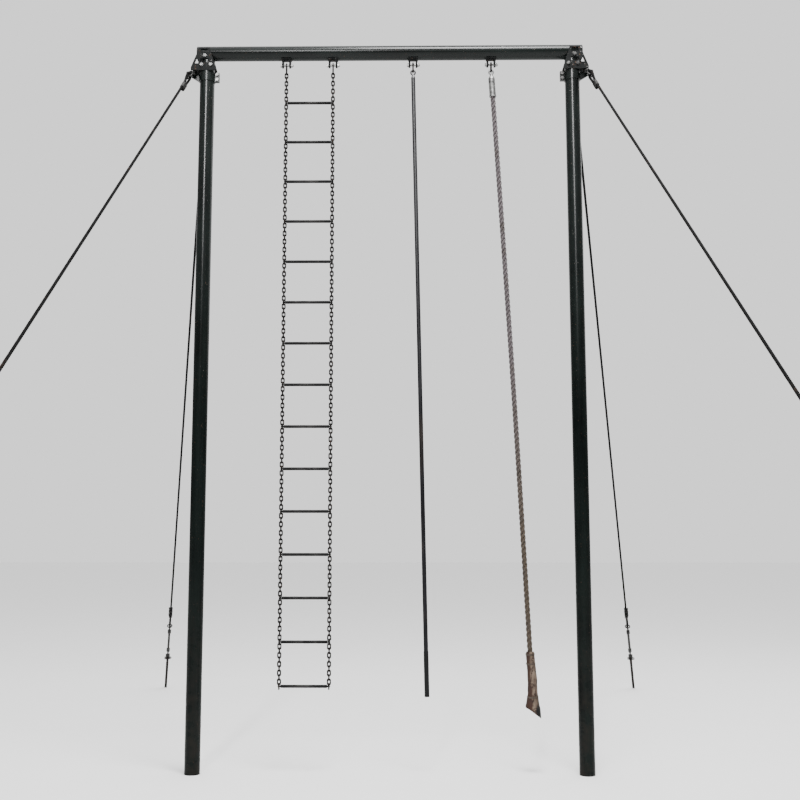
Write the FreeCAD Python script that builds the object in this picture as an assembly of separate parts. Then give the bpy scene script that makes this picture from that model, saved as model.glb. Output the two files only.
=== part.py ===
import FreeCAD, Part
import math
import os

os.makedirs("parts", exist_ok=True)
V = FreeCAD.Vector

# Guyed climbing gantry. Millimetres, +Z up, the origin on the ground midway between the posts,
# +X to the right and +Y to the back. The guys run to the front and to the back.

# Frame.
post_spacing = 2700.0
tube_radius = 54.0
tube_wall = 4.0
beam_height = 5170.0
beam_overhang = 70.0
post_x = post_spacing / 2
beam_half = post_x + beam_overhang
paint_gap = 0.2

# Head brackets and guy collars, given from the post axis (outwards) and the beam axis (up).
plate_thickness = 8.0
head_bolt_radius = 7.0
head_bolt_places = ((12.0, -38.0), (-34.0, -108.0), (34.0, -108.0))
collar_drop = 186.0
collar_height = 70.0
collar_wall = 6.0
clamp_bolt_radius = 7.0
clamp_bolt_out = -75.0
clamp_bolt_rise = 19.0
clamp_slot = 8.0
clamp_ear = 10.0

# Hanger yokes under the beam.
pin_drop = 40.0
pin_radius = 8.0
pin_z = beam_height - tube_radius - pin_drop
yoke_gap = 40.0
cheek_thickness = 12.0
fit_gap = 0.4

# Chain ladder.
ladder_x = -590.0
chain_spacing = 345.0
rung_pitch = 300.0
rung_count = 15
rung_radius = 11.0
link_pitch = 30.0
link_wire = 4.8
link_arc = 10.2
links_per_rung = 10
top_links = 7
ladder_ring_wire = 5.0
ladder_ring_straight = 56.0

# Climbing pole.
pole_x = 175.0
pole_lean = 1.07
pole_radius = 15.5
pole_wall = 2.5
pole_length = 4450.0
sleeve_length = 300.0
sleeve_wall = 1.6

# Climbing rope.
rope_x = 752.0
rope_lean = 3.3
rope_radius = 19.0
rope_runs = (1500.0, 1500.0, 1385.0)
rope_bends = (-0.35, -0.35)
socket_depth = 60.0
socket_length = 150.0
boot_above = 315.0
boot_below = 90.0
boot_slant = 38.5

# Ring that carries the pole and the rope.
hanger_wire = 6.0
hanger_straight = 40.0
eye_arc = 16.0

# Guys.
guy_radius = 10.0
guy_head_z = beam_height - 165.0
front_head = (115.0, -45.0)
back_head = (24.0, 89.0)
guy_foot_out = 1160.0
guy_foot_side = 4330.0
guy_foot_shift = 50.0
lug_radius = 17.0
fitting_bar = 6.0
shackle_leg = 35.0
shackle_arc = 17.0
thimble_outer = 14.2
thimble_wall = 3.0
thimble_width = 14.0
wire_eye_length = 100.0
ferrule_length = 60.0
clip_pitch = 42.0
clip_count = 3
anchor_eye_up = 455.0
anchor_radius = 13.0
body_start_up = 560.0
body_length = 300.0
ring_up = 925.0
ring_arc = 22.0
thread_radius = 8.0

facing = V(1, 0, 0)
edgeways = V(0, 1, 0)
up = V(0, 0, 1)


def export(name, shape):
    """Write one node as a STEP file."""
    shape.exportStep("parts/" + name + ".step")
    print(name, len(shape.Solids), "solids", round(shape.Volume / 1000.0, 1), "cm3", shape.isValid())


def group(shapes):
    """Several separate solids that share one node."""
    return Part.makeCompound(shapes)


def fused(shapes):
    """One clean solid out of pieces that touch or overlap."""
    return shapes[0].fuse(shapes[1:]).removeSplitter()


def rod(start, end, radius):
    """A round bar from one point to another."""
    return Part.makeCylinder(radius, (end - start).Length, start, end - start)


def pipe(start, end, outer, inner):
    """A round tube from one point to another."""
    return rod(start, end, outer).cut(rod(start, end, inner))


def hexagon(centre, axis, across_flats, height):
    """A hexagonal prism that stands on the centre point along the axis."""
    circumradius = across_flats / math.sqrt(3.0)
    corners = [V(circumradius * math.cos(math.radians(60 * k)), circumradius * math.sin(math.radians(60 * k)), 0)
               for k in range(7)]
    prism = Part.Face(Part.makePolygon(corners)).extrude(V(0, 0, height))
    prism.Placement = FreeCAD.Placement(centre, FreeCAD.Rotation(V(0, 0, 1), axis))
    return prism


def placed(shape, origin, x_axis, z_axis):
    """A copy of a shape, moved from its own axes to an origin and two given axes."""
    rotation = FreeCAD.Rotation(x_axis, z_axis.cross(x_axis), z_axis, "ZXY")
    copy = shape.copy()
    copy.Placement = FreeCAD.Placement(origin, rotation).multiply(shape.Placement)
    return copy


def leaned(shape, pivot, degrees):
    """A copy turned about a front-to-back axis, so that what hangs below the pivot moves right."""
    copy = shape.copy()
    copy.rotate(pivot, V(0, 1, 0), -degrees)
    return copy


def side_plate(corners, half_width):
    """A plate in the XZ plane, centred on y = 0, from corners given as (x, z)."""
    loop = [V(x, -half_width, z) for x, z in corners]
    return Part.Face(Part.makePolygon(loop + loop[:1])).extrude(V(0, 2 * half_width, 0))


def oval_link(wire, arc, straight):
    """A welded chain link in the XZ plane, long along Z. The arc is to the middle of the wire."""
    half = straight / 2
    top_disc = Part.Face(Part.Wire(Part.makeCircle(wire, V(arc, 0, half), V(0, 0, 1))))
    low_disc = Part.Face(Part.Wire(Part.makeCircle(wire, V(arc, 0, -half), V(0, 0, 1))))
    pieces = [top_disc.revolve(V(0, 0, half), V(0, 1, 0), -180), low_disc.revolve(V(0, 0, -half), V(0, 1, 0), 180)]
    for side in (-1, 1):
        pieces.append(rod(V(side * arc, 0, -half), V(side * arc, 0, half), wire))
    return fused(pieces)


def rounded_route(points, radii):
    """Straight runs joined by tangent arcs. There is one radius for each inner point."""
    edges = []
    start = points[0]
    for before, corner, after, radius in zip(points, points[1:], points[2:], radii):
        back = (before - corner).normalize()
        ahead = (after - corner).normalize()
        turn = math.pi - back.getAngle(ahead)
        reach = radius * math.tan(turn / 2)
        arc_start = corner + back * reach
        arc_end = corner + ahead * reach
        to_centre = (back + ahead).normalize()
        middle = corner + to_centre * (radius / math.cos(turn / 2) - radius)
        edges.append(Part.makeLine(start, arc_start))
        edges.append(Part.Arc(arc_start, middle, arc_end).toShape())
        start = arc_end
    edges.append(Part.makeLine(start, points[-1]))
    return Part.Wire(edges)


def cord_along(route, radius):
    """A round cord swept along a route."""
    first = route.Edges[0]
    start = first.valueAt(first.FirstParameter)
    profile = Part.Wire(Part.makeCircle(radius, start, first.tangentAt(first.FirstParameter)))
    return route.makePipeShell([profile], True, True)


class Guy:
    """The two ends and the axes of one guy. z runs down the guy and x along its level shackle pin."""

    def __init__(self, side, way):
        out, along = front_head if way < 0 else back_head
        self.head = V(side * (post_x + out), along, guy_head_z)
        self.foot = V(side * (post_x + guy_foot_out) + guy_foot_shift, way * guy_foot_side, 0)
        self.length = (self.foot - self.head).Length
        self.down = (self.foot - self.head).normalize()
        self.pin = self.down.cross(up).normalize()

    def at_head(self, shape):
        """Place a shape whose origin is the shackle pin."""
        return placed(shape, self.head, self.pin, self.down)

    def at_foot(self, shape):
        """Place a shape whose origin is the point where the guy meets the ground, z up the guy."""
        return placed(shape, self.foot, self.pin, self.down * -1)


# Frame


def bolt_axis(side, outwards, rise):
    """The two ends of a front-to-back line through a head, beyond both plates."""
    x = side * (post_x + outwards)
    return V(x, -100, beam_height + rise), V(x, 100, beam_height + rise)


def drilled_for_head_bolts(body, side):
    """Cut the holes for one head's bolts."""
    for outwards, rise in head_bolt_places:
        body = body.cut(rod(*bolt_axis(side, outwards, rise), head_bolt_radius + paint_gap))
    return body


def beam():
    """The crossbar, with holes right through for the upper bolts of each head."""
    body = pipe(V(-beam_half, 0, beam_height), V(beam_half, 0, beam_height), tube_radius, tube_radius - tube_wall)
    for side in (-1, 1):
        body = drilled_for_head_bolts(body, side)
    return body


def beam_caps():
    """The two discs that close the ends of the crossbar."""
    discs = []
    for side in (-1, 1):
        disc = Part.makeCylinder(tube_radius, 5.0, V(side * beam_half, 0, beam_height), V(side, 0, 0))
        outer_rim = [edge for edge in disc.Edges if abs(edge.CenterOfMass.x) > beam_half + 4]
        discs.append(disc.makeChamfer(1.5, outer_rim))
    return group(discs)


def post(side):
    """One post, notched at the top to the round of the crossbar."""
    foot = V(side * post_x, 0, 0)
    body = pipe(foot, foot + V(0, 0, beam_height), tube_radius, tube_radius - tube_wall)
    seat = rod(V(-beam_half, 0, beam_height), V(beam_half, 0, beam_height), tube_radius + paint_gap)
    over = Part.makeBox(300, 300, 300, V(side * post_x - 150, -150, beam_height - 32))
    return drilled_for_head_bolts(body.cut(seat).cut(over), side)


def head_bracket(side):
    """The A-shaped plates in front of and behind a head, and the sloping web that joins them."""
    outline = [(-22, 24), (52, 24), (66, -8), (114, -128), (114, -150), (-68, -150), (-68, -128), (-36, -20)]
    upper_window = [(-8, 14), (38, 14), (44, -14), (-15, -14)]
    lower_window = [(-16, -60), (44, -60), (44, -88), (-16, -88)]
    slit = [(59, -64), (73, -64), (86, -98), (59, -98)]
    near = tube_radius + paint_gap
    far = near + plate_thickness

    def mirrored(corners):
        return [(side * (post_x + u), beam_height + z) for u, z in corners]

    full = side_plate(mirrored(outline), far)
    for window in (upper_window, lower_window, slit):
        full = full.cut(side_plate(mirrored(window), far + 1))
    middle = Part.makeBox(400, 2 * near, 400, V(side * post_x - 200, -near, beam_height - 250))
    plates = full.cut(middle)
    web = side_plate(mirrored([(100, -94), (92, -94), (106, -128), (113, -128)]), near + 1)
    return drilled_for_head_bolts(plates.fuse(web), side).removeSplitter()


def through_bolt(centre, axis, grip, radius):
    """A hexagon bolt with its washers and nut. The grip is centred on the given point."""
    half = grip / 2
    flats = 3.0 * radius
    pieces = [rod(centre - axis * (half + 1), centre + axis * (half + 1.9 * radius + 4), radius)]
    for way in (-1, 1):
        seat = centre + axis * (way * half)
        pieces.append(rod(seat, seat + axis * (way * 2.5), 1.9 * radius))
        pieces.append(hexagon(seat + axis * (way * 2.5), axis * way, flats, 1.3 * radius))
    return fused(pieces)


def head_bolts():
    """One bolt through the crossbar and two through the post at each head."""
    grip = 2 * (tube_radius + paint_gap + plate_thickness)
    bolts = []
    for side in (-1, 1):
        for outwards, rise in head_bolt_places:
            centre = V(side * (post_x + outwards), 0, beam_height + rise)
            bolts.append(through_bolt(centre, V(0, 1, 0), grip, head_bolt_radius))
    return group(bolts)


def guy_lug(guy, back, rise):
    """The plate that carries a guy's shackle pin. It runs level from the pin back to the collar."""
    round_end = rod(V(-6, 0, 0), V(6, 0, 0), lug_radius)
    plate = Part.makeBox(12, back, lug_radius + rise, V(-6, -back, -lug_radius))
    lug = fused([round_end, plate]).cut(rod(V(-10, 0, 0), V(10, 0, 0), 7.3))
    rotation = FreeCAD.Rotation(guy.pin, up.cross(guy.pin), up, "ZXY")
    lug.Placement = FreeCAD.Placement(guy.head, rotation)
    return lug


def guy_collar(side):
    """The clamp round a post, with bolt ears on the inside and a lug for each of two guys."""
    centre_z = beam_height - collar_drop
    low = V(side * post_x, 0, centre_z - collar_height / 2)
    high = V(side * post_x, 0, centre_z + collar_height / 2)
    bore = tube_radius + paint_gap
    inner_ear = Part.makeBox(40, clamp_slot + 2 * clamp_ear, collar_height,
                             V(side * (post_x - 70) - 20, -clamp_slot / 2 - clamp_ear, low.z))
    rib_corners = [(56, -152), (122, -152), (122, -180), (56, -220)]
    rib = side_plate([(side * (post_x + u), beam_height + z) for u, z in rib_corners], 7.0)
    collar = fused([rod(low, high, bore + collar_wall), inner_ear, rib,
                    guy_lug(Guy(side, -1), 48, 13), guy_lug(Guy(side, 1), 50, 13)])
    collar = collar.cut(rod(low - V(0, 0, 60), high + V(0, 0, 60), bore))
    slot = Part.makeBox(80, clamp_slot, 200, V(side * (post_x - 80) - 40, -clamp_slot / 2, centre_z - 100))
    collar = collar.cut(slot)
    for rise in (-clamp_bolt_rise, clamp_bolt_rise):
        centre = V(side * (post_x + clamp_bolt_out), 0, centre_z + rise)
        collar = collar.cut(rod(centre - V(0, 60, 0), centre + V(0, 60, 0), clamp_bolt_radius + paint_gap))
    return collar.removeSplitter()


def collar_bolts():
    """The two clamp bolts on the inner side of each collar."""
    bolts = []
    for side in (-1, 1):
        for rise in (-clamp_bolt_rise, clamp_bolt_rise):
            centre = V(side * (post_x + clamp_bolt_out), 0, beam_height - collar_drop + rise)
            bolts.append(through_bolt(centre, V(0, 1, 0), clamp_slot + 2 * clamp_ear, clamp_bolt_radius))
    return group(bolts)


hanging_places = (ladder_x - chain_spacing / 2, ladder_x + chain_spacing / 2, pole_x, rope_x)


def hanger_yoke(x):
    """A saddle under the crossbar with two cheeks for a pin."""
    near = tube_radius + paint_gap
    half = yoke_gap / 2 + cheek_thickness
    saddle = pipe(V(x - half - 4, 0, beam_height), V(x + half + 4, 0, beam_height), near + 7, near)
    wedge_corners = [(0, 0), (-55, -75), (55, -75)]
    loop = [V(x - half - 10, y, beam_height + z) for y, z in wedge_corners]
    wedge = Part.Face(Part.makePolygon(loop + loop[:1])).extrude(V(2 * half + 20, 0, 0))
    pieces = [saddle.common(wedge)]
    for way in (-1, 1):
        start = x + way * yoke_gap / 2
        cheek_loop = [V(start, y, z) for y, z in (
            (-30, beam_height - tube_radius + 6), (30, beam_height - tube_radius + 6),
            (20, pin_z), (-20, pin_z))]
        blade = Part.Face(Part.makePolygon(cheek_loop + cheek_loop[:1])).extrude(V(way * cheek_thickness, 0, 0))
        nose = rod(V(start, 0, pin_z), V(start + way * cheek_thickness, 0, pin_z), 20.0)
        pieces.append(blade.fuse(nose))
    yoke = fused(pieces)
    yoke = yoke.cut(rod(V(x - 100, 0, beam_height), V(x + 100, 0, beam_height), near))
    return yoke.cut(rod(V(x - 100, 0, pin_z), V(x + 100, 0, pin_z), pin_radius + 0.1)).removeSplitter()


def yoke_pins():
    """One bolt through each yoke."""
    grip = yoke_gap + 2 * cheek_thickness
    return group([through_bolt(V(x, 0, pin_z), V(1, 0, 0), grip, pin_radius) for x in hanging_places])


# Chain ladder


link_straight = link_pitch + fit_gap - 2 * (link_arc - link_wire)
link_crown = link_straight / 2 + link_arc
ladder_ring_arc = pin_radius + fit_gap + ladder_ring_wire
ring_crown_z = pin_z - ladder_ring_straight - ladder_ring_arc
first_link_z = ring_crown_z + ladder_ring_wire + link_wire + fit_gap - link_crown
top_rung_z = first_link_z - top_links * link_pitch
chain_link = oval_link(link_wire, link_arc, link_straight)


def chain_between(x, high_z, first, last):
    """Links hung below a height. Odd ones face the front and even ones stand edgeways."""
    links = []
    for number in range(first, last + 1):
        across = facing if number % 2 else edgeways
        links.append(placed(chain_link, V(x, 0, high_z - number * link_pitch), across, up))
    return links


def chain_section(first_z, first, last):
    """The same run of links at both sides of the ladder."""
    links = []
    for way in (-1, 1):
        links += chain_between(ladder_x + way * chain_spacing / 2, first_z, first, last)
    return group(links)


def rung(z):
    """A round rung with a riveted neck through the link at each end."""
    half = chain_spacing / 2
    neck = link_arc - link_wire - 0.6
    shoulder = link_wire + 0.3
    profile = [(0, 0), (0, rung_radius), (half - 12.2, rung_radius), (half - 11.2, rung_radius - 1),
               (half - 11.2, neck + 1), (half - shoulder, neck + 1), (half - shoulder, neck),
               (half + shoulder, neck), (half + shoulder, neck + 1), (half + shoulder + 2.5, neck + 1),
               (half + shoulder + 3.7, neck), (half + shoulder + 3.7, 0)]
    loop = [V(along, 0, out) for along, out in profile]
    half_rung = Part.Face(Part.makePolygon(loop + loop[:1])).revolve(V(0, 0, 0), V(1, 0, 0), 360)
    whole = fused([half_rung, half_rung.mirror(V(0, 0, 0), V(1, 0, 0))])
    whole.translate(V(ladder_x, 0, z))
    return whole


def ladder():
    """The top ring pair, then eight sections of chain with their rungs."""
    ring = oval_link(ladder_ring_wire, ladder_ring_arc, ladder_ring_straight)
    ring_z = pin_z - ladder_ring_straight / 2
    rings = [placed(ring, V(ladder_x + way * chain_spacing / 2, 0, ring_z), edgeways, up) for way in (-1, 1)]
    export("ladder_top_rings", group(rings))
    chain_top = top_rung_z + top_links * link_pitch
    export("ladder_chain_1", chain_section(chain_top + link_pitch, 1, top_links + 1))
    export("ladder_rungs_1", rung(top_rung_z))
    for section in range(2, 9):
        above = top_rung_z - (2 * section - 4) * rung_pitch
        export("ladder_chain_%d" % section, chain_section(above, 1, 2 * links_per_rung))
        export("ladder_rungs_%d" % section, group([rung(above - rung_pitch), rung(above - 2 * rung_pitch)]))


# Climbing pole and climbing rope


hanger_arc = pin_radius + fit_gap + hanger_wire
hanger_crown_z = pin_z - hanger_straight - hanger_arc
eye_centre_z = hanger_crown_z + 2 * hanger_wire + fit_gap - eye_arc
eye_foot_z = eye_centre_z - eye_arc - 4.0


def hanger_ring(x):
    """The oblong ring that hangs edgeways on a yoke pin."""
    ring = oval_link(hanger_wire, hanger_arc, hanger_straight)
    return placed(ring, V(x, 0, pin_z - hanger_straight / 2), edgeways, up)


def turned(x, profile):
    """A turned piece about a plumb axis, from (radius, z) corners."""
    loop = [V(x + radius, 0, z) for radius, z in profile]
    return Part.Face(Part.makePolygon(loop + loop[:1])).revolve(V(x, 0, 0), up, 360)


def eye(x):
    """A forged ring that faces the front, linked through the hanger ring."""
    return Part.makeTorus(eye_arc, hanger_wire, V(x, 0, eye_centre_z), V(0, 1, 0))


def pole():
    """The eye plug, the tube and the sleeve at its foot, leaned as one."""
    pivot = V(pole_x, 0, hanger_crown_z)
    shoulder = eye_foot_z - 26.0
    foot = shoulder - pole_length
    bore = pole_radius - pole_wall
    plug = turned(pole_x, [(0, eye_foot_z + 2), (8, eye_foot_z + 2), (pole_radius, shoulder + 4),
                           (pole_radius, shoulder), (bore - 0.1, shoulder), (bore - 0.1, shoulder - 45),
                           (0, shoulder - 45)])
    shaft = pipe(V(pole_x, 0, shoulder), V(pole_x, 0, foot), pole_radius, bore)
    inner = pole_radius + 0.1
    outer = inner + sleeve_wall
    sleeve = turned(pole_x, [(inner, foot - 0.1), (inner, foot + sleeve_length), (outer - 0.6, foot + sleeve_length),
                             (outer, foot + sleeve_length - 1), (outer, foot - 4), (outer - 1.5, foot - 5.5),
                             (0, foot - 5.5), (0, foot - 0.1)])
    export("pole_hanger_ring", hanger_ring(pole_x))
    export("pole_eye", leaned(fused([eye(pole_x), plug]), pivot, pole_lean))
    export("pole_tube", leaned(shaft, pivot, pole_lean))
    export("pole_sleeve", leaned(sleeve, pivot, pole_lean))


def rope_points(start_z):
    """The corners of the rope's route before it is leaned: three long runs, very slightly turned."""
    points = [V(rope_x, 0, start_z)]
    heading = 0.0
    for length, turn in zip(rope_runs, (0.0,) + rope_bends):
        heading += math.radians(turn)
        points.append(points[-1] + V(math.sin(heading), 0, -math.cos(heading)) * length)
    return points


def boot(end, heading):
    """The flared, bound foot of the rope. It is cut off at a slant, lower on the right."""
    bore = rope_radius + 0.3
    foot = boot_below + 45
    profile = [(bore, -boot_above), (29, -boot_above), (31, -260), (32, -170), (33, -90), (35, -40), (42, 20),
               (50, 70), (54, foot), (0, foot), (0, 1), (bore, 1)]
    body = turned(0, profile)
    slope = math.tan(math.radians(boot_slant))
    offcut = side_plate([(-80, boot_below - 80 * slope), (80, boot_below + 80 * slope),
                         (80, boot_below + 200), (-80, boot_below + 200)], 80)
    return placed(body.cut(offcut), end, V(-heading.z, 0, heading.x), heading)


def rope():
    """The socket with its eye, the fibre rope and the bound boot at its foot, leaned as one."""
    pivot = V(rope_x, 0, hanger_crown_z)
    shoulder = eye_foot_z - 22.0
    mouth = shoulder - socket_length
    start_z = mouth + socket_depth
    bore = rope_radius + 0.3
    wall = rope_radius + 5
    cup = turned(rope_x, [(0, eye_foot_z + 2), (8, eye_foot_z + 2), (wall - 3, shoulder), (wall, shoulder - 8),
                          (wall, mouth + 14), (wall + 2, mouth + 12), (wall + 2, mouth + 2), (wall, mouth),
                          (bore, mouth), (bore, start_z), (0, start_z)])
    points = rope_points(start_z)
    radii = [0.45 * min(rope_runs) / math.tan(math.radians(abs(turn)) / 2) for turn in rope_bends]
    route = rounded_route(points, radii)
    rope_solid = cord_along(route, rope_radius)
    print("rope bend radii", radii, "route length", round(route.Length, 1))
    print("rope volume", round(rope_solid.Volume), "section x length",
          round(math.pi * rope_radius ** 2 * route.Length))
    lean = FreeCAD.Rotation(V(0, 1, 0), -rope_lean)
    print("rope route", [tuple(round(c, 2) for c in pivot + lean.multVec(point - pivot)) for point in points])
    heading = (points[-1] - points[-2]).normalize()
    export("rope_hanger_ring", hanger_ring(rope_x))
    export("rope_socket", leaned(fused([eye(rope_x), cup]), pivot, rope_lean))
    export("climbing_rope", leaned(rope_solid, pivot, rope_lean))
    export("rope_boot", leaned(boot(points[-1], heading), pivot, rope_lean))


# Guys


def shackle():
    """A bow of round bar with an eye at each end for the pin."""
    crown = V(0, 0, shackle_leg)
    disc = Part.Face(Part.Wire(Part.makeCircle(fitting_bar, V(shackle_arc, 0, shackle_leg), up)))
    pieces = [disc.revolve(crown, V(0, 1, 0), -180)]
    for way in (-1, 1):
        leg = V(way * shackle_arc, 0, 0)
        pieces.append(rod(leg, leg + crown, fitting_bar))
        pieces.append(rod(leg - V(6.2, 0, 0), leg + V(6.2, 0, 0), 13.0))
    bow = fused(pieces)
    return bow.cut(rod(V(-40, 0, 0), V(40, 0, 0), 7.3)).removeSplitter()


def shackle_pin():
    """The shackle's bolt, along X."""
    pieces = [rod(V(-33, 0, 0), V(33, 0, 0), 7.0), hexagon(V(23.6, 0, 0), V(1, 0, 0), 22.0, 8.0),
              hexagon(V(-23.6, 0, 0), V(-1, 0, 0), 22.0, 8.0)]
    return fused(pieces)


def seat_inside(arc):
    """How far from the middle of a curved bar's hole a thimble can sit against the bar."""
    hole = arc - fitting_bar
    return math.sqrt(hole ** 2 - (thimble_width / 2) ** 2) - fit_gap


eye_radius = thimble_outer + guy_radius + 0.3
upper_eye_z = shackle_leg + seat_inside(shackle_arc) + thimble_outer - thimble_wall
lower_eye_up = ring_up + seat_inside(ring_arc) + thimble_outer - thimble_wall


def teardrop(centre_z, radius, tip):
    """A flat face in the YZ plane: a circle drawn out to a point further along Z."""
    reach = tip - centre_z
    half_angle = math.asin(radius / reach)
    y = radius * math.cos(half_angle)
    z = centre_z + radius * math.sin(half_angle)
    back = Part.Arc(V(0, -y, z), V(0, 0, centre_z - radius), V(0, y, z)).toShape()
    sides = [Part.makeLine(V(0, y, z), V(0, 0, tip)), Part.makeLine(V(0, 0, tip), V(0, -y, z))]
    return Part.Face(Part.Wire([back] + sides))


def thimble(centre_z):
    """The drop-shaped liner inside a wire-rope eye, its circle round the given height."""
    outer = teardrop(centre_z, thimble_outer, centre_z + 54).extrude(V(thimble_width, 0, 0))
    inner = teardrop(centre_z, thimble_outer - thimble_wall, centre_z + 42).extrude(V(thimble_width, 0, 0))
    liner = outer.cut(inner)
    liner.translate(V(-thimble_width / 2, 0, 0))
    return liner


tail_side = 2 * guy_radius + fit_gap
upper_tail = wire_eye_length + 16 + ferrule_length
lower_tail = wire_eye_length + 24 + clip_count * clip_pitch


def eye_corner(start_side):
    """Where a line that grazes the eye's circle, from the throat of the eye, meets the eye's far side."""
    distance = math.hypot(start_side, wire_eye_length)
    touch = math.atan2(start_side, wire_eye_length) + math.acos(eye_radius / distance)
    return eye_radius / math.cos((math.pi - touch) / 2) * math.sin((touch + math.pi) / 2)


def wire_end(centre_z, way, tail):
    """Corners of a wire eye from its tail to where it joins the main line; way is +1 for down the guy."""
    throat_z = centre_z + way * wire_eye_length
    far_z = centre_z - way * eye_radius
    return [V(0, tail_side, centre_z + way * tail), V(0, tail_side, throat_z),
            V(0, eye_corner(tail_side), far_z), V(0, -eye_corner(0), far_z), V(0, 0, throat_z)]


wire_radii = [60.0, eye_radius - 0.4, eye_radius - 0.4, 60.0]


def guy_wire(guy):
    """One wire rope with an eye turned back at each end."""
    upper = wire_end(upper_eye_z, 1, upper_tail)
    lower = wire_end(guy.length - lower_eye_up, -1, lower_tail)
    route = rounded_route(upper + lower[::-1], wire_radii + wire_radii[::-1])
    return guy.at_head(cord_along(route, guy_radius))


def ferrule():
    """The pressed sleeve that holds the upper tail to the main line."""
    start = upper_eye_z + wire_eye_length + 11
    end = start + ferrule_length
    sleeve = fused([rod(V(0, 0, start), V(0, 0, end), guy_radius + 4),
                    rod(V(0, tail_side, start), V(0, tail_side, end), guy_radius + 4),
                    Part.makeBox(2 * guy_radius + 8, tail_side, ferrule_length, V(-guy_radius - 4, 0, start))])
    for side in (0, tail_side):
        sleeve = sleeve.cut(rod(V(0, side, start - 5), V(0, side, end + 5), guy_radius + 0.3))
    return sleeve.removeSplitter()


def wire_clip(z):
    """A saddle, a U-bolt and two nuts that hold the tail to the main line."""
    leg = guy_radius + 4.0
    saddle = Part.makeBox(2 * leg + 12, 15, 20, V(-leg - 6, -19, z - 10))
    saddle = saddle.cut(rod(V(0, 0, z - 20), V(0, 0, z + 20), guy_radius + 0.1))
    disc = Part.Face(Part.Wire(Part.makeCircle(3.5, V(leg, tail_side, z), V(0, 1, 0))))
    pieces = [saddle, disc.revolve(V(0, tail_side, z), up, 180)]
    for way in (-1, 1):
        pieces.append(rod(V(way * leg, tail_side, z), V(way * leg, -31, z), 3.5))
        pieces.append(hexagon(V(way * leg, -19, z), V(0, -1, 0), 12.0, 7.0))
    return fused(pieces)


def guy_clips(guy):
    """The wire clips at the lower end of a guy."""
    first = guy.length - lower_eye_up - wire_eye_length - 24
    return [guy.at_head(wire_clip(first - clip_pitch * k)) for k in range(clip_count)]


def turnbuckle_ring():
    """The upper end of a turnbuckle: a ring on a threaded rod."""
    ring = Part.makeTorus(ring_arc, fitting_bar, V(0, 0, ring_up), V(0, 1, 0))
    neck = rod(V(0, 0, body_start_up + body_length - 80), V(0, 0, ring_up - ring_arc), thread_radius)
    return fused([ring, neck])


def turnbuckle_body():
    """The open frame between two threaded bosses."""
    low = body_start_up
    frame = Part.makeBox(20, 42, body_length, V(-10, -21, low))
    frame = frame.cut(Part.makeBox(30, 22, body_length - 68, V(-15, -11, low + 34)))
    bosses = [rod(V(0, 0, low), V(0, 0, low + 34), 18.0),
              rod(V(0, 0, low + body_length - 34), V(0, 0, low + body_length), 18.0)]
    body = fused([frame] + bosses)
    return body.cut(rod(V(0, 0, low - 5), V(0, 0, low + body_length + 5), thread_radius + 0.1)).removeSplitter()


def turnbuckle_jaw():
    """The lower end of a turnbuckle: a fork on a threaded rod."""
    pieces = [rod(V(0, 0, anchor_eye_up + 45), V(0, 0, body_start_up + 80), thread_radius),
              Part.makeBox(42, 30, 14, V(-21, -15, anchor_eye_up + 34))]
    for way in (-1, 1):
        inner = way * 10.8
        outer = way * 21.0
        pieces.append(Part.makeBox(10.2, 30, 36, V(min(inner, outer), -15, anchor_eye_up)))
        pieces.append(rod(V(inner, 0, anchor_eye_up), V(outer, 0, anchor_eye_up), 15.0))
    jaw = fused(pieces)
    return jaw.cut(rod(V(-40, 0, anchor_eye_up), V(40, 0, anchor_eye_up), 8.2)).removeSplitter()


def jaw_pin():
    """The bolt through a turnbuckle's fork and the anchor's eye."""
    return through_bolt(V(0, 0, anchor_eye_up), V(1, 0, 0), 42.0, 8.0)


def ground_anchor(guy):
    """An eye rod that leaves the ground along the guy. It is cut off flat at the ground."""
    shank = rod(V(0, 0, -60), V(0, 0, anchor_eye_up - 17), anchor_radius)
    head = rod(V(-10, 0, anchor_eye_up), V(10, 0, anchor_eye_up), 26.0)
    body = fused([shank, head]).cut(rod(V(-40, 0, anchor_eye_up), V(40, 0, anchor_eye_up), 8.2))
    below = Part.makeBox(400, 400, 200, guy.foot - V(200, 200, 200))
    return guy.at_foot(body).cut(below)


def guys():
    """All four guys. Pieces that are alike share a node, and the moving turnbuckle bodies don't."""
    shared = {"guy_shackles": [], "shackle_pins": [], "guy_thimbles": [], "guy_ferrules": [], "wire_clips": [],
              "turnbuckle_rings": [], "turnbuckle_jaws": [], "jaw_pins": [], "ground_anchors": []}
    for row, way in (("front", -1), ("back", 1)):
        for hand, side in (("left", -1), ("right", 1)):
            guy = Guy(side, way)
            export("guy_wire_%s_%s" % (row, hand), guy_wire(guy))
            export("turnbuckle_body_%s_%s" % (row, hand), guy.at_foot(turnbuckle_body()))
            shared["guy_shackles"].append(guy.at_head(shackle()))
            shared["shackle_pins"].append(guy.at_head(shackle_pin()))
            shared["guy_thimbles"] += [guy.at_head(thimble(upper_eye_z)), guy.at_foot(thimble(lower_eye_up))]
            shared["guy_ferrules"].append(guy.at_head(ferrule()))
            shared["wire_clips"] += guy_clips(guy)
            shared["turnbuckle_rings"].append(guy.at_foot(turnbuckle_ring()))
            shared["turnbuckle_jaws"].append(guy.at_foot(turnbuckle_jaw()))
            shared["jaw_pins"].append(guy.at_foot(jaw_pin()))
            shared["ground_anchors"].append(ground_anchor(guy))
    for name, shapes in shared.items():
        export(name, group(shapes))


export("crossbar", beam())
export("crossbar_caps", beam_caps())
for hand, side in (("left", -1), ("right", 1)):
    export("post_" + hand, post(side))
    export("head_bracket_" + hand, head_bracket(side))
    export("guy_collar_" + hand, guy_collar(side))
export("head_bolts", head_bolts())
export("collar_bolts", collar_bolts())
export("hanger_yokes", group([hanger_yoke(x) for x in hanging_places]))
export("yoke_pins", yoke_pins())
ladder()
pole()
rope()
guys()
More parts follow.
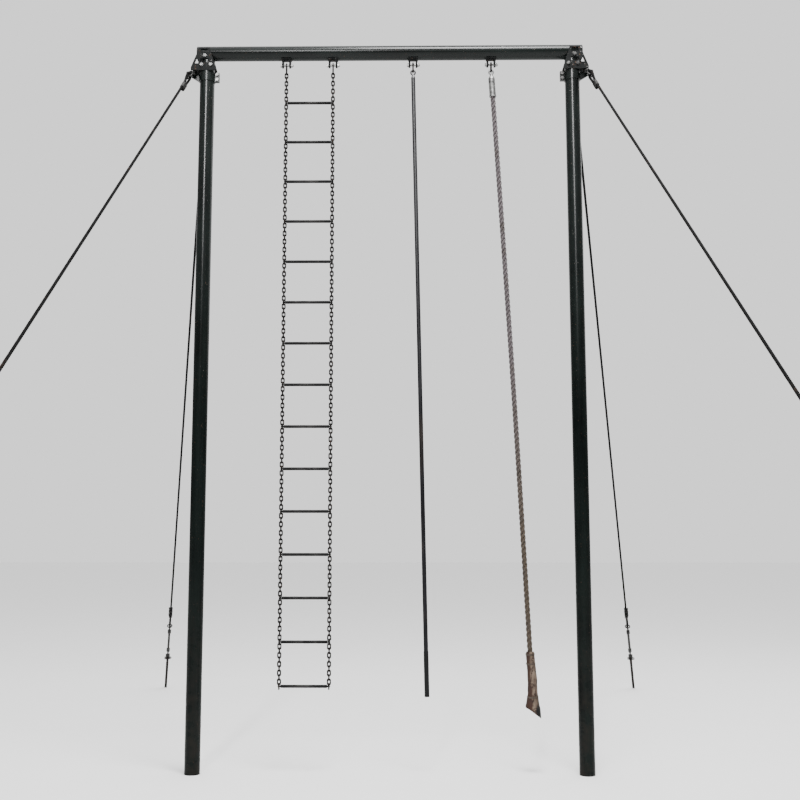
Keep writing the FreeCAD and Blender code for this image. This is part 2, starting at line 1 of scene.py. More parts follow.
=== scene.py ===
import bpy
import math
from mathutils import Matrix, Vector


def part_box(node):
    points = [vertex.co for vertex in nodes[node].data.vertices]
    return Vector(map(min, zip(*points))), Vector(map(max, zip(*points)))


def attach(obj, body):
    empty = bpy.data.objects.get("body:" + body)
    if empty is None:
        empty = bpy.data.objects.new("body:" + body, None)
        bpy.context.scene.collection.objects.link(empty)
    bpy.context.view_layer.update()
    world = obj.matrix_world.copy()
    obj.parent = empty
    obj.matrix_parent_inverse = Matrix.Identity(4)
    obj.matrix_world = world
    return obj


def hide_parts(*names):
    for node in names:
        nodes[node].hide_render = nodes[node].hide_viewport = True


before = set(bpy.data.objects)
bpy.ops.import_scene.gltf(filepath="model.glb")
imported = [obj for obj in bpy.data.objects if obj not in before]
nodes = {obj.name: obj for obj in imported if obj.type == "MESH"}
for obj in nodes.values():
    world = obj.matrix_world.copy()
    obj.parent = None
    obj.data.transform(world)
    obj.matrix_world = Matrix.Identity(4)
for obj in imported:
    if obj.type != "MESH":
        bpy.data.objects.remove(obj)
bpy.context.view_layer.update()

# Sizes repeated from the CAD model, in metres.
BEAM_Z = 5.170
POST_X = 1.350

ROPE_ROUTE = [(0.75981, 0, 4.88622), (0.84615, 0, 3.38871), (0.92335, 0, 1.89070), (0.98618, 0, 0.50712)]
BOOT_ABOVE = 0.315
BOOT_BELOW = 0.092
BOOT_SLANT = 40.0
ROPE_DIAMETER = 0.038

GUY_HEAD_Z = 5.005
GUY_HEADS = {"front": (0.115, -0.045), "back": (0.024, 0.089)}
GUY_FOOT_OUT = 1.160
GUY_FOOT_SIDE = 4.330
GUY_FOOT_SHIFT = 0.050
GUY_DIAMETER = 0.020


# Node helpers


class Shader:
    """A material under construction: its node tree, its Principled shader and short ways to add nodes."""

    def __init__(self, name, roughness, metallic=0.0):
        self.material = bpy.data.materials.new(name)
        self.material.use_nodes = True
        self.tree = self.material.node_tree
        self.principled = self.tree.nodes["Principled BSDF"]
        self.principled.inputs["Roughness"].default_value = roughness
        self.principled.inputs["Metallic"].default_value = metallic
        self.height = None

    def add(self, kind, **settings):
        node = self.tree.nodes.new(kind)
        for key, value in settings.items():
            setattr(node, key, value)
        return node

    def link(self, source, target):
        self.tree.links.new(source, target)

    def place(self, stretch):
        """Coordinates in metres, scaled along each axis."""
        where = self.add("ShaderNodeTexCoord")
        mapping = self.add("ShaderNodeMapping")
        mapping.inputs["Scale"].default_value = stretch
        self.link(where.outputs["Object"], mapping.inputs["Vector"])
        return mapping.outputs["Vector"]

    def split(self, source="Object"):
        """The separate X, Y and Z of a texture coordinate."""
        where = self.add("ShaderNodeTexCoord")
        parts = self.add("ShaderNodeSeparateXYZ")
        self.link(where.outputs[source], parts.inputs["Vector"])
        return parts.outputs

    def height_above_ground(self):
        return self.split()["Z"]

    def noise(self, scale, detail=4.0, stretch=(1, 1, 1), roughness=0.55):
        node = self.add("ShaderNodeTexNoise")
        node.inputs["Scale"].default_value = scale
        node.inputs["Detail"].default_value = detail
        node.inputs["Roughness"].default_value = roughness
        self.link(self.place(stretch), node.inputs["Vector"])
        return node.outputs["Fac"]

    def ramp(self, factor, low, high, start=0.0, end=1.0):
        """A straight run from one value to another, held flat outside the given range."""
        node = self.add("ShaderNodeMapRange", clamp=True)
        node.inputs["From Min"].default_value = low
        node.inputs["From Max"].default_value = high
        node.inputs["To Min"].default_value = start
        node.inputs["To Max"].default_value = end
        self.link(factor, node.inputs["Value"])
        return node.outputs["Result"]

    def maths(self, operation, first, second=0.0):
        node = self.add("ShaderNodeMath", operation=operation)
        for socket, value in zip(node.inputs, (first, second)):
            if isinstance(value, (int, float)):
                socket.default_value = value
            else:
                self.link(value, socket)
        return node.outputs["Value"]

    def blend(self, factor, first, second):
        """A colour mix. Each side is a colour or the output of another mix."""
        node = self.add("ShaderNodeMix", data_type="RGBA")
        self.link(factor, node.inputs["Factor"])
        for socket, value in ((node.inputs[6], first), (node.inputs[7], second)):
            if isinstance(value, tuple):
                socket.default_value = (*value, 1.0)
            else:
                self.link(value, socket)
        return node.outputs[2]

    def colour(self, output):
        self.link(output, self.principled.inputs["Base Color"])

    def rough(self, output):
        self.link(output, self.principled.inputs["Roughness"])

    def metal(self, output):
        self.link(output, self.principled.inputs["Metallic"])

    def bump(self, output, distance, strength=1.0):
        """Add one layer of relief, in metres."""
        node = self.add("ShaderNodeBump")
        node.inputs["Distance"].default_value = distance
        node.inputs["Strength"].default_value = strength
        self.link(output, node.inputs["Height"])
        if self.height:
            self.link(self.height, node.inputs["Normal"])
        self.height = node.outputs["Normal"]
        self.link(self.height, self.principled.inputs["Normal"])


# Materials


def tube_paint(name, stretch, dull_below, shiny_above):
    """Old green-black paint, streaked along the tube: glossy high up, duller, chipped and dirty low down."""
    shader = Shader(name, 0.3)
    gloss = shader.ramp(shader.height_above_ground(), dull_below, shiny_above, 0.07, 0.5)
    shader.link(gloss, shader.principled.inputs["Specular IOR Level"])
    streaks = shader.noise(26.0, 6.0, stretch)
    cloud = shader.noise(2.2, 3.0)
    colour = shader.blend(shader.ramp(streaks, 0.3, 0.7), (0.0015, 0.0022, 0.0020), (0.0045, 0.0070, 0.0062))
    colour = shader.blend(shader.ramp(cloud, 0.45, 0.75), colour, (0.006, 0.009, 0.008))
    chips = shader.ramp(shader.noise(95.0, 5.0), 0.67, 0.70)
    colour = shader.blend(chips, colour, (0.050, 0.028, 0.018))
    low_down = shader.ramp(shader.height_above_ground(), 1.3, 0.0)
    splash = shader.maths("MULTIPLY", low_down, shader.ramp(shader.noise(14.0, 6.0), 0.42, 0.72))
    colour = shader.blend(splash, colour, (0.014, 0.012, 0.010))
    shader.colour(colour)
    rough = shader.ramp(streaks, 0.3, 0.75, 0.19, 0.30)
    shader.rough(shader.maths("ADD", rough, shader.maths("MULTIPLY", splash, 0.35)))
    shader.bump(shader.noise(180.0, 3.0), 0.0003, 0.12)
    shader.bump(streaks, 0.0006, 0.12)
    shader.bump(shader.maths("MULTIPLY", chips, -1.0), 0.0006, 0.8)
    return shader.material


def bracket_paint():
    """Thick black paint on cut plate, chipped to bare steel in small spots and rusting."""
    shader = Shader("bracket_paint", 0.42)
    shader.principled.inputs["Specular IOR Level"].default_value = 0.12
    cloud = shader.noise(18.0, 5.0)
    colour = shader.blend(shader.ramp(cloud, 0.35, 0.7), (0.0015, 0.002, 0.002), (0.005, 0.006, 0.006))
    bare = shader.ramp(shader.noise(85.0, 5.0), 0.66, 0.70)
    colour = shader.blend(bare, colour, (0.20, 0.195, 0.185))
    rust = shader.ramp(shader.noise(42.0, 6.0), 0.62, 0.70)
    colour = shader.blend(rust, colour, (0.055, 0.030, 0.018))
    shader.colour(colour)
    shader.metal(shader.maths("MULTIPLY", bare, 0.8))
    shader.rough(shader.ramp(cloud, 0.3, 0.7, 0.34, 0.6))
    shader.bump(shader.noise(120.0, 4.0), 0.0005, 0.5)
    return shader.material


def steel(name, light, dark, rust_from, metallic, roughness, specular=0.5):
    """Weathered bare or zinc-plated steel, with rust in patches above a given noise level."""
    shader = Shader(name, roughness, metallic)
    shader.principled.inputs["Specular IOR Level"].default_value = specular
    patches = shader.noise(36.0, 6.0)
    colour = shader.blend(shader.ramp(patches, 0.35, 0.65), dark, light)
    rust = shader.ramp(shader.noise(58.0, 7.0, roughness=0.7), rust_from, rust_from + 0.08)
    colour = shader.blend(rust, colour, (0.060, 0.032, 0.018))
    shader.colour(colour)
    shader.metal(shader.ramp(rust, 0.0, 1.0, metallic, 0.1))
    gloss = shader.ramp(shader.noise(160.0, 4.0), 0.3, 0.7, roughness - 0.08, roughness + 0.12)
    shader.rough(shader.maths("ADD", gloss, shader.maths("MULTIPLY", rust, 0.25)))
    shader.bump(shader.noise(320.0, 4.0), 0.0003, 0.5)
    shader.bump(rust, 0.0004, 0.5)
    return shader.material


def handled_steel(name, dark, light, roughness):
    """Dark steel polished in long streaks by hands, and glossiest above their reach."""
    shader = Shader(name, roughness, 0.2)
    gloss = shader.ramp(shader.height_above_ground(), 2.2, 4.4, 0.15, 1.0)
    shader.link(gloss, shader.principled.inputs["Specular IOR Level"])
    streaks = shader.noise(60.0, 6.0, (1, 1, 0.06))
    cloud = shader.noise(6.0, 4.0, (1, 1, 0.4))
    colour = shader.blend(shader.ramp(streaks, 0.3, 0.7), dark, light)
    colour = shader.blend(shader.ramp(cloud, 0.55, 0.75), colour, (0.034, 0.026, 0.021))
    shader.colour(colour)
    shader.rough(shader.ramp(streaks, 0.3, 0.7, roughness - 0.06, roughness + 0.16))
    shader.bump(streaks, 0.0004, 0.3)
    shader.bump(shader.noise(300.0, 3.0), 0.0002, 0.4)
    return shader.material


def rung_steel():
    """Black rungs, rubbed grey along the middle where feet and hands go."""
    shader = Shader("rung_steel", 0.42)
    shader.principled.inputs["Specular IOR Level"].default_value = 0.1
    low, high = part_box("ladder_rungs_1")
    middle = (low[0] + high[0]) / 2
    off_centre = shader.maths("ABSOLUTE", shader.maths("SUBTRACT", shader.split()["X"], middle))
    trodden = shader.ramp(off_centre, 0.13, 0.03)
    scuffs = shader.ramp(shader.noise(46.0, 6.0, (0.35, 1, 1)), 0.42, 0.66)
    worn = shader.maths("MULTIPLY", trodden, scuffs)
    colour = shader.blend(shader.noise(30.0, 4.0), (0.002, 0.002, 0.002), (0.006, 0.006, 0.006))
    colour = shader.blend(worn, colour, (0.030, 0.029, 0.028))
    shader.colour(colour)
    shader.rough(shader.ramp(worn, 0.0, 1.0, 0.46, 0.30))
    shader.bump(shader.noise(220.0, 4.0), 0.0003, 0.5)
    return shader.material


def strand_fibre(name, yarns, yarn_pitch):
    """Twisted fibre or wire: fine yarns run slantwise along each strand, from the strand's own UVs."""
    shader = Shader(name, 0.85)
    lay = shader.split("UV")
    turns = shader.maths("MULTIPLY", lay["X"], float(yarns))
    along = shader.maths("MULTIPLY", lay["Y"], 1.0 / yarn_pitch)
    slant = shader.maths("MULTIPLY", shader.maths("ADD", turns, along), 2 * math.pi)
    # ridges is 0 in the grooves between yarns and 1 on their crests; the fibre and wire colours darken with
    # it, which is painted shade in the grooves
    ridges = shader.ramp(shader.maths("SINE", slant), -1.0, 1.0)
    return shader, ridges


def rope_fibre():
    """Weathered hemp: lighter grey above, darker brown below, with painted shade in the grooves between yarns
    and pale raised fibres.
    """
    shader, ridges = strand_fibre("rope_fibre", 7, 0.026)
    low = shader.ramp(shader.height_above_ground(), 3.0, 1.6)
    # Grey and brown each run from a dark tone in the yarn grooves to a light one on the crests: painted shade
    # in the grooves
    grey = shader.blend(ridges, (0.022, 0.018, 0.020), (0.118, 0.098, 0.106))
    brown = shader.blend(ridges, (0.012, 0.0075, 0.0045), (0.070, 0.047, 0.026))
    colour = shader.blend(low, grey, brown)
    stains = shader.ramp(shader.noise(9.0, 6.0), 0.52, 0.72)
    colour = shader.blend(stains, colour, (0.030, 0.022, 0.017))
    fluff = shader.ramp(shader.noise(420.0, 3.0, (1, 1, 0.3)), 0.62, 0.74)
    colour = shader.blend(fluff, colour, (0.28, 0.23, 0.17))
    shader.colour(colour)
    shader.bump(ridges, 0.0012, 0.8)
    shader.bump(shader.noise(500.0, 4.0, (1, 1, 0.25)), 0.0008, 0.6)
    shader.principled.inputs["Sheen Weight"].default_value = 0.1
    return shader.material


def lashing_fibre():
    """Thin dark brown twisted cord, with painted shade in the grooves between yarns."""
    shader, ridges = strand_fibre("lashing_cord", 3, 0.008)
    # Darker in the yarn grooves, lighter on the crests: painted shade in the grooves
    shader.colour(shader.blend(ridges, (0.015, 0.010, 0.008), (0.09, 0.065, 0.045)))
    shader.bump(ridges, 0.0004, 0.8)
    return shader.material


def guy_wire_steel():
    """Weathered galvanised wire rope, dull, with the grooves of the lay painted darker as painted shade."""
    shader, ridges = strand_fibre("guy_wire_steel", 6, 0.030)
    shader.principled.inputs["Roughness"].default_value = 0.65
    shader.principled.inputs["Specular IOR Level"].default_value = 0.08
    # Darker in the grooves of the lay, lighter on the wire crests: painted shade in the grooves
    colour = shader.blend(ridges, (0.002, 0.002, 0.002), (0.007, 0.007, 0.007))
    rust = shader.ramp(shader.noise(16.0, 6.0), 0.60, 0.72)
    colour = shader.blend(rust, colour, (0.022, 0.014, 0.011))
    shader.colour(colour)
    shader.bump(ridges, 0.0004, 0.8)
    return shader.material


def boot_leather():
    """Hide wrapped round the rope: dark on the left, pale and creased on the right, black at the tip, with
    painted shade darkening the creases.
    """
    shader = Shader("boot_leather", 0.68)
    shader.principled.inputs["Specular IOR Level"].default_value = 0.25
    place = shader.split()
    top, foot = ROPE_ROUTE[-2], ROPE_ROUTE[-1]
    lean = (foot[0] - top[0]) / (top[2] - foot[2])
    across = shader.maths("ADD", place["X"], shader.maths("MULTIPLY", place["Z"], lean))
    right = shader.maths("SUBTRACT", across, foot[0] + lean * foot[2])
    patches = shader.noise(24.0, 6.0)
    ragged = shader.maths("ADD", right, shader.ramp(patches, 0.3, 0.7, -0.010, 0.010))
    pale = shader.blend(shader.ramp(patches, 0.35, 0.7), (0.060, 0.040, 0.028), (0.175, 0.130, 0.096))
    colour = shader.blend(shader.ramp(ragged, -0.012, 0.002), (0.030, 0.013, 0.008), pale)
    crease_noise = shader.noise(21.0, 3.0, (1, 1, 0.55))
    off_middle = shader.maths("ABSOLUTE", shader.maths("SUBTRACT", crease_noise, 0.5))
    creases = shader.ramp(off_middle, 0.034, 0.012)
    # The creases are painted darker as painted shade in the folds; the same mask dents them in the bump below
    colour = shader.blend(creases, colour, (0.020, 0.010, 0.007))
    lowest = shader.ramp(place["Z"], 0.478, 0.450)
    tip = shader.maths("MULTIPLY", lowest, shader.ramp(ragged, 0.011, 0.020))
    colour = shader.blend(tip, colour, (0.003, 0.002, 0.002))
    shader.colour(colour)
    shader.rough(shader.ramp(patches, 0.3, 0.7, 0.55, 0.8))
    shader.bump(shader.noise(260.0, 4.0), 0.0006, 0.6)
    shader.bump(shader.maths("MULTIPLY", creases, -1.0), 0.0020, 0.7)
    return shader.material


def pale_floor():
    """A plain pale studio floor with the faintest grain."""
    shader = Shader("pale_floor", 0.9)
    colour = shader.blend(shader.noise(3.0, 3.0), (0.88, 0.88, 0.88), (0.90, 0.90, 0.90))
    shader.colour(colour)
    return shader.material


# Laid ropes


def follow(points):
    """The points of a smooth NURBS line through a route's corners, as Blender makes them."""
    curve = bpy.data.curves.new("route", "CURVE")
    curve.dimensions = "3D"
    spline = curve.splines.new("NURBS")
    spline.points.add(len(points) - 1)
    for control, point in zip(spline.points, points):
        control.co = (*point, 1.0)
    spline.order_u = 3
    spline.use_endpoint_u = True
    spline.resolution_u = 24
    holder = bpy.data.objects.new("route", curve)
    bpy.context.scene.collection.objects.link(holder)
    mesh = bpy.data.meshes.new_from_object(holder.evaluated_get(bpy.context.evaluated_depsgraph_get()))
    line = [vertex.co.copy() for vertex in mesh.vertices]
    bpy.data.objects.remove(holder)
    bpy.data.meshes.remove(mesh)
    return line


def evenly(line, step):
    """The same line cut into equal steps, with its length."""
    lengths = [0.0]
    for a, b in zip(line, line[1:]):
        lengths.append(lengths[-1] + (b - a).length)
    count = max(2, round(lengths[-1] / step))
    result = []
    index = 0
    for k in range(count + 1):
        target = lengths[-1] * k / count
        while index < len(line) - 2 and lengths[index + 1] < target:
            index += 1
        span = lengths[index + 1] - lengths[index]
        result.append(line[index].lerp(line[index + 1], (target - lengths[index]) / span))
    return result, lengths[-1]


def carried_frames(line, start_normal):
    """A normal for each point, turned with the line and never twisted about it."""
    normals = []
    normal = start_normal
    for k in range(len(line)):
        ahead = (line[min(k + 1, len(line) - 1)] - line[max(k - 1, 0)]).normalized()
        normal = (normal - ahead * normal.dot(ahead)).normalized()
        normals.append((ahead, normal, ahead.cross(normal)))
    return normals


def tube_rows(builder, centres, radius, sides, start_v, step):
    """Add one tube to a mesh under construction, with UVs: turns round it, and metres along it."""
    vertices, faces, corners = builder
    base = len(vertices)
    frames = carried_frames(centres, Vector((0.31, 0.95, 0.05)))
    for centre, (ahead, normal, side) in zip(centres, frames):
        for j in range(sides):
            angle = 2 * math.pi * j / sides
            vertices.append(centre + (normal * math.cos(angle) + side * math.sin(angle)) * radius)
    for i in range(len(centres) - 1):
        for j in range(sides):
            k = (j + 1) % sides
            low = base + i * sides
            high = low + sides
            faces.append((low + j, low + k, high + k, high + j))
            v0 = start_v + i * step
            v1 = v0 + step
            corners.extend([(j / sides, v0), ((j + 1) / sides, v0), ((j + 1) / sides, v1), (j / sides, v1)])
    for ring in (base, base + (len(centres) - 1) * sides):
        cap = [ring + j for j in range(sides)]
        faces.append(tuple(cap if ring != base else reversed(cap)))
        corners.extend([(0.0, start_v)] * sides)


def laid_rope(name, line, diameter, strands, pitch, step, sides, material):
    """A rope of strands twisted about a line, just filling its diameter, and the line's points."""
    points, length = evenly(line, step)
    frames = carried_frames(points, Vector((0.2, 1.0, 0.1)))
    strand_radius = diameter / 2 / (1 + 1 / math.sin(math.pi / strands))
    offset = diameter / 2 - strand_radius
    real_step = length / (len(points) - 1)
    builder = ([], [], [])
    for s in range(strands):
        centres = []
        for k, (point, (ahead, normal, side)) in enumerate(zip(points, frames)):
            angle = 2 * math.pi * (s / strands + k * real_step / pitch)
            centres.append(point + (normal * math.cos(angle) + side * math.sin(angle)) * offset)
        tube_rows(builder, centres, strand_radius * 1.04, sides, 0.0, real_step)
    if strands > 3:
        tube_rows(builder, points, offset - strand_radius * 0.8, sides, 0.0, real_step)
    rope = mesh_piece(name, builder[0], builder[1], material, builder[2])
    return rope, points


def mesh_piece(name, vertices, faces, material, corners=None):
    """A smooth-shaded mesh object, with UVs where they are given."""
    mesh = bpy.data.meshes.new(name)
    mesh.from_pydata([tuple(v) for v in vertices], [], faces)
    if corners:
        layer = mesh.uv_layers.new(name="lay")
        for loop, uv in zip(layer.data, corners):
            loop.uv = uv
    mesh.validate()
    mesh.shade_smooth()
    mesh.materials.append(material)
    piece = bpy.data.objects.new(name, mesh)
    bpy.context.scene.collection.objects.link(piece)
    return piece


# Camera


def add_camera():
    """The photograph's eye: low in front of the gantry, tilted a little up."""
    data = bpy.data.cameras.new("camera")
    data.sensor_width = 36.0
    data.lens = 49.5
    data.shift_x = 0.0121
    data.shift_y = -0.0075
    data.clip_end = 200.0
    camera = bpy.data.objects.new("camera", data)
    camera.location = (0.0969, -7.7767, 1.6175)
    camera.rotation_euler = (math.pi / 2 + 0.1281, 0.0, 0.0116)
    bpy.context.scene.collection.objects.link(camera)
    bpy.context.scene.camera = camera


add_camera()

# The climbing rope

route_line = follow(ROPE_ROUTE)
rope, rope_points = laid_rope("climbing_rope_laid", route_line, ROPE_DIAMETER, strands=3, pitch=0.115,
                              step=0.006, sides=12, material=rope_fibre())
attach(rope, "rope")
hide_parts("climbing_rope")


def binding(name, centre, axis, radius, cord_radius, turns, rise, material):
    """A few touching turns of thin cord wound round something, as one helix."""
    centres = []
    across = axis.orthogonal().normalized()
    other = axis.cross(across)
    steps_a_turn = 32
    for k in range(turns * steps_a_turn + 1):
        angle = 2 * math.pi * k / steps_a_turn
        along = axis * (rise * (k / steps_a_turn - turns / 2))
        centres.append(centre + along + (across * math.cos(angle) + other * math.sin(angle)) * radius)
    builder = ([], [], [])
    tube_rows(builder, centres, cord_radius, 8, 0.0, 2 * math.pi * radius / steps_a_turn)
    return mesh_piece(name, builder[0], builder[1], material, builder[2])


BOOT_PROFILE = [(-BOOT_ABOVE, 0.0282), (-0.308, 0.0296), (-0.260, 0.0304), (-0.215, 0.0307), (-0.170, 0.0313),
                (-0.090, 0.0322), (-0.040, 0.0345), (0.020, 0.0410), (0.065, 0.0480), (0.130, 0.0520)]
BOOT_MOUTH = 0.0192
BOOT_ROWS = 90
BOOT_SIDES = 72
LASHING_HEIGHTS = (-0.298, -0.235, -0.012)


def boot_radius(z):
    """The boot's mean radius at a distance below the rope's end."""
    for (z0, r0), (z1, r1) in zip(BOOT_PROFILE, BOOT_PROFILE[1:]):
        if z <= z1:
            return r0 + (r1 - r0) * (z - z0) / (z1 - z0)
    return BOOT_PROFILE[-1][1]


def boot_outline(angle, z, row):
    """The boot's radius with its folds, its lapped seam, its flared left side and its fuller right side."""
    fold = 0.0011 * math.sin(5 * angle + 26 * z) + 0.0008 * math.sin(11 * angle - 60 * z)
    seam_angle = (angle - 2.1 - 7.0 * z) % (2 * math.pi)
    lap = 0.0016 * max(0.0, 1.0 - seam_angle / 2.6)
    r = boot_radius(z) - 0.0018 + fold * min(1.0, row / 8) + lap
    leftward = max(0.0, -math.cos(angle))
    rightward = max(0.0, math.cos(angle))
    flare = min(1.0, max(0.0, (z + 0.03) / 0.08))
    belly = max(0.0, 1.0 - abs(z + 0.12) / 0.14)
    return r + leftward * (0.009 * flare - 0.003 * belly) + rightward * 0.008 * belly


def slanted_cut(angle):
    """How far below the rope's end the slanted cut passes, on one side of the boot."""
    slope = math.tan(math.radians(BOOT_SLANT))
    cut = BOOT_BELOW
    for _ in range(6):
        cut = BOOT_BELOW + slope * boot_radius(cut) * math.cos(angle) * 0.985
    return cut


def ring_faces(lower, upper):
    """One band of faces between two rings of boot vertices, given by their first numbers."""
    return [(lower + j, lower + (j + 1) % BOOT_SIDES, upper + (j + 1) % BOOT_SIDES, upper + j)
            for j in range(BOOT_SIDES)]


def make_boot():
    """The bound leather foot of the rope, with a wrapped seam, cord lashings and a slanted, frayed end."""
    end = Vector(rope_points[-1])
    down = (end - Vector(rope_points[-30])).normalized()
    right = Vector((-down.z, 0.0, down.x)).normalized()
    front = Vector((0.0, -1.0, 0.0))
    angles = [2 * math.pi * j / BOOT_SIDES for j in range(BOOT_SIDES)]
    outwards = [right * math.cos(angle) + front * math.sin(angle) for angle in angles]
    cuts = [slanted_cut(angle) for angle in angles]
    vertices = []
    for row in range(BOOT_ROWS + 1):
        for angle, outward, cut in zip(angles, outwards, cuts):
            z = -BOOT_ABOVE + (cut + BOOT_ABOVE) * row / BOOT_ROWS
            vertices.append(end + down * z + outward * boot_outline(angle, z, row))
    faces = []
    for row in range(BOOT_ROWS):
        faces += ring_faces(row * BOOT_SIDES, (row + 1) * BOOT_SIDES)
    mouth = len(vertices)
    vertices += [end + down * (0.001 - BOOT_ABOVE) + outward * BOOT_MOUTH for outward in outwards]
    faces += ring_faces(mouth, 0)
    rim = BOOT_ROWS * BOOT_SIDES
    previous = rim
    middle = end + down * BOOT_BELOW
    for shrink, lift in ((0.86, 0.0), (0.80, 0.010), (0.45, 0.006), (0.0, 0.008)):
        ring = len(vertices)
        for j in range(BOOT_SIDES):
            ragged = lift * (1.0 + 0.5 * math.sin(9 * j) * math.sin(3.7 * j))
            vertices.append(middle.lerp(vertices[rim + j], shrink) - down * ragged)
        faces += ring_faces(previous, ring)
        previous = ring
    boot = mesh_piece("rope_boot_leather", vertices, faces, boot_leather())
    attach(boot, "rope")
    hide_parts("rope_boot")
    lashings = [make_lashing(number, end, down, height) for number, height in enumerate(LASHING_HEIGHTS, 1)]
    return [boot] + lashings


def make_lashing(number, end, down, height):
    """One lashing of thin cord round the boot."""
    lash = binding("boot_lashing_%d" % number, end + down * height, down, boot_radius(height) + 0.0008,
                   cord_radius=0.0016, turns=4, rise=0.0030, material=lashing_cord)
    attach(lash, "rope")
    return lash


lashing_cord = lashing_fibre()
boot_pieces = make_boot()


# Guy wires


def guy_axes(row, side):
    """The head point of a guy, its direction down, its level pin direction and its length."""
    out, along = GUY_HEADS[row]
    way = -1 if row == "front" else 1
    head = Vector((side * (POST_X + out), along, GUY_HEAD_Z))
    foot = Vector((side * (POST_X + GUY_FOOT_OUT) + GUY_FOOT_SHIFT, way * GUY_FOOT_SIDE, 0.0))
    down = (foot - head).normalized()
    pin = down.cross(Vector((0, 0, 1))).normalized()
    return head, down, pin, (foot - head).length


# Distances along and across a guy's own line, from its head unless named otherwise.
EYE = 0.0245
TAIL_SIDE = 0.0204
EYE_LENGTH = 0.100
UPPER_EYE = 0.0543
LOWER_EYE_UP = 0.9502
UPPER_TAIL = 0.076
LOWER_TAIL = 0.150


def eye_points(centre_z, way, tail_length):
    """From the tail's end, round the thimble and on to the main line, as (y, z) in the guy's own axes."""
    points = [(TAIL_SIDE, centre_z + way * (EYE_LENGTH + tail_length * t)) for t in (1.0, 0.66, 0.33, 0.0)]
    points.append((0.0232, centre_z + way * EYE_LENGTH / 2))
    control = EYE * 1.01
    for k in range(13):
        angle = math.radians(-12 + 204 * k / 12)
        points.append((control * math.cos(angle), centre_z - way * control * math.sin(angle)))
    points.append((-0.0134, centre_z + way * EYE_LENGTH / 2))
    points.append((0.0, centre_z + way * (EYE_LENGTH + 0.002)))
    return points


wire_material = guy_wire_steel()
for row in ("front", "back"):
    for hand, side in (("left", -1), ("right", 1)):
        head, down, pin, length = guy_axes(row, side)
        across = down.cross(pin)
        route = eye_points(UPPER_EYE, 1, UPPER_TAIL)
        lower = eye_points(length - LOWER_EYE_UP, -1, LOWER_TAIL)
        start_z = route[-1][1]
        end_z = lower[-1][1]
        route += [(0.0, start_z + (end_z - start_z) * k / 12) for k in range(1, 12)]
        route += lower[::-1]
        line = [head + across * y + down * z for y, z in route]
        name = "guy_wire_%s_%s" % (row, hand)
        wire, _ = laid_rope(name + "_laid", follow(line), GUY_DIAMETER, strands=6, pitch=0.085,
                            step=0.006, sides=6, material=wire_material)
        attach(wire, "gantry")
        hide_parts(name)


# Materials of the CAD pieces


def finish_node(name, material):
    """Give every face of a carried-over CAD piece one material."""
    slots = nodes[name].data.materials
    slots.clear()
    slots.append(material)


along_z = tube_paint("post_paint", stretch=(1, 1, 0.05), dull_below=2.4, shiny_above=4.6)
along_x = tube_paint("crossbar_paint", stretch=(0.05, 1, 1), dull_below=4.5, shiny_above=7.0)
plates = bracket_paint()
links = steel("link_steel", light=(0.014, 0.012, 0.011), dark=(0.004, 0.004, 0.004), rust_from=0.60,
              metallic=0.1, roughness=0.50, specular=0.12)
bolts = steel("bolt_steel", light=(0.26, 0.26, 0.255), dark=(0.08, 0.08, 0.08), rust_from=0.64,
              metallic=0.9, roughness=0.28)
zinc = steel("galvanised_steel", light=(0.036, 0.036, 0.035), dark=(0.010, 0.010, 0.010), rust_from=0.60,
             metallic=0.3, roughness=0.45, specular=0.25)
rusty = steel("anchor_rust", light=(0.014, 0.011, 0.010), dark=(0.005, 0.004, 0.004), rust_from=0.62,
              metallic=0.0, roughness=0.66, specular=0.12)
socket_steel = steel("socket_steel", light=(0.30, 0.30, 0.295), dark=(0.10, 0.10, 0.10), rust_from=0.62,
                     metallic=0.8, roughness=0.38)
pole_steel = handled_steel("pole_steel", dark=(0.003, 0.003, 0.004), light=(0.012, 0.012, 0.014),
                           roughness=0.34)
sleeve_steel = handled_steel("sleeve_steel", dark=(0.003, 0.003, 0.003), light=(0.009, 0.009, 0.010),
                             roughness=0.40)
rungs = rung_steel()

FINISHES = {
    "crossbar": along_x, "crossbar_caps": plates, "post_left": along_z, "post_right": along_z,
    "head_bracket_left": plates, "head_bracket_right": plates, "guy_collar_left": along_z,
    "guy_collar_right": along_z, "head_bolts": bolts, "collar_bolts": bolts, "hanger_yokes": plates,
    "yoke_pins": bolts, "pole_hanger_ring": links, "rope_hanger_ring": links, "ladder_top_rings": links,
    "pole_eye": pole_steel, "pole_tube": pole_steel, "pole_sleeve": sleeve_steel, "rope_socket": socket_steel,
    "guy_shackles": zinc, "shackle_pins": zinc, "guy_thimbles": zinc, "guy_ferrules": zinc,
    "wire_clips": zinc, "turnbuckle_rings": zinc, "turnbuckle_jaws": zinc, "jaw_pins": bolts,
    "ground_anchors": rusty, "turnbuckle_body_front_left": zinc, "turnbuckle_body_front_right": zinc,
    "turnbuckle_body_back_left": zinc, "turnbuckle_body_back_right": zinc}
for name, material in FINISHES.items():
    finish_node(name, material)
for section in range(1, 9):
    finish_node("ladder_chain_%d" % section, links)
    finish_node("ladder_rungs_%d" % section, rungs)


# Floor and light


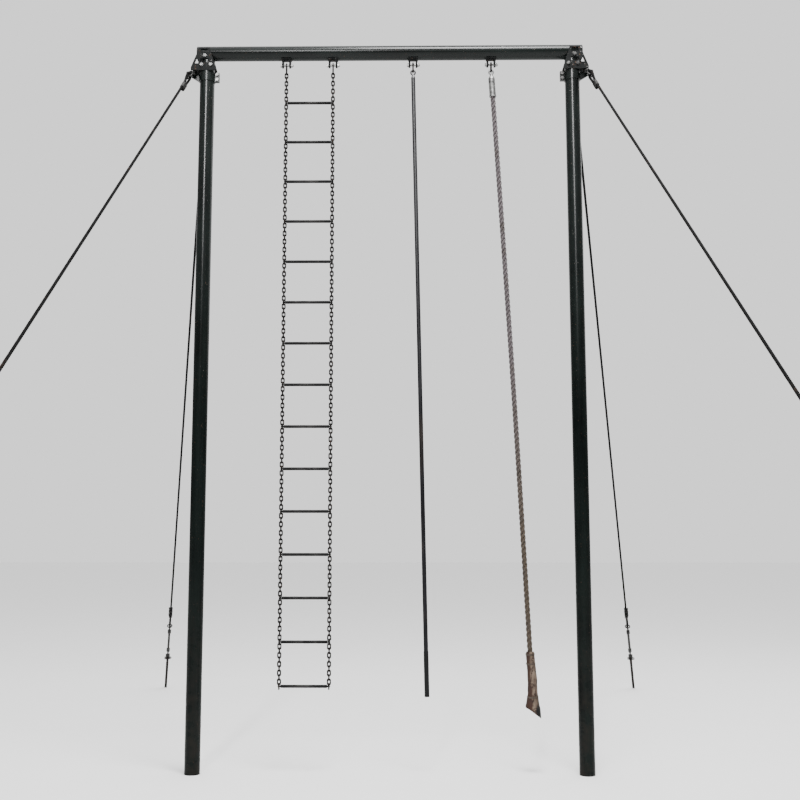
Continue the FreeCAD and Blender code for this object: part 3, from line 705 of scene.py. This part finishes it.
def add_floor():
    mesh = bpy.data.meshes.new("floor")
    half = 60.0
    corners = [(-half, -half, 0), (half, -half, 0), (half, half, 0), (-half, half, 0)]
    mesh.from_pydata(corners, [], [(0, 1, 2, 3)])
    mesh.materials.append(pale_floor())
    floor = bpy.data.objects.new("floor", mesh)
    bpy.context.scene.collection.objects.link(floor)


def add_area_light(name, place, target, size, power):
    data = bpy.data.lights.new(name, "AREA")
    data.shape = "RECTANGLE"
    data.size, data.size_y = size
    data.energy = power
    light = bpy.data.objects.new(name, data)
    light.location = place
    light.rotation_euler = (Vector(target) - Vector(place)).to_track_quat("-Z", "Y").to_euler()
    bpy.context.scene.collection.objects.link(light)


def light_world():
    """A white studio: a bright wall behind the gantry, a bright ceiling, and little light in front."""
    world = bpy.data.worlds.new("studio")
    world.use_nodes = True
    tree = world.node_tree
    background = tree.nodes["Background"]
    background.inputs["Color"].default_value = (1.0, 1.0, 1.0, 1.0)
    where = tree.nodes.new("ShaderNodeTexCoord")
    split = tree.nodes.new("ShaderNodeSeparateXYZ")
    tree.links.new(where.outputs["Generated"], split.inputs["Vector"])

    def glow(axis, edge, full, strength):
        """Light that comes in as a direction turns towards one axis."""
        node = tree.nodes.new("ShaderNodeMapRange")
        node.inputs["From Min"].default_value = edge
        node.inputs["From Max"].default_value = full
        node.inputs["To Max"].default_value = strength
        tree.links.new(split.outputs[axis], node.inputs["Value"])
        return node.outputs["Result"]

    def total(first, second):
        node = tree.nodes.new("ShaderNodeMath")
        tree.links.new(first, node.inputs[0])
        if isinstance(second, float):
            node.inputs[1].default_value = second
        else:
            tree.links.new(second, node.inputs[1])
        return node.outputs["Value"]

    wall_and_ceiling = total(glow("Y", 0.55, 0.85, 0.96), glow("Z", 0.5, 0.9, 1.85))
    tree.links.new(total(wall_and_ceiling, 0.3), background.inputs["Strength"])
    bpy.context.scene.world = world


add_floor()
light_world()
add_area_light("front_strip", (-2.5, -20.0, 13.5), (0.0, 0.0, 4.5), (1.4, 7.0), 2200.0)
add_area_light("top_strip", (1.0, -3.2, 11.0), (0.9, 0.0, BEAM_Z), (3.0, 3.0), 1500.0)
add_area_light("rim", (7.0, 5.0, 7.0), (0.0, 0.0, 3.0), (3.0, 7.0), 120.0)
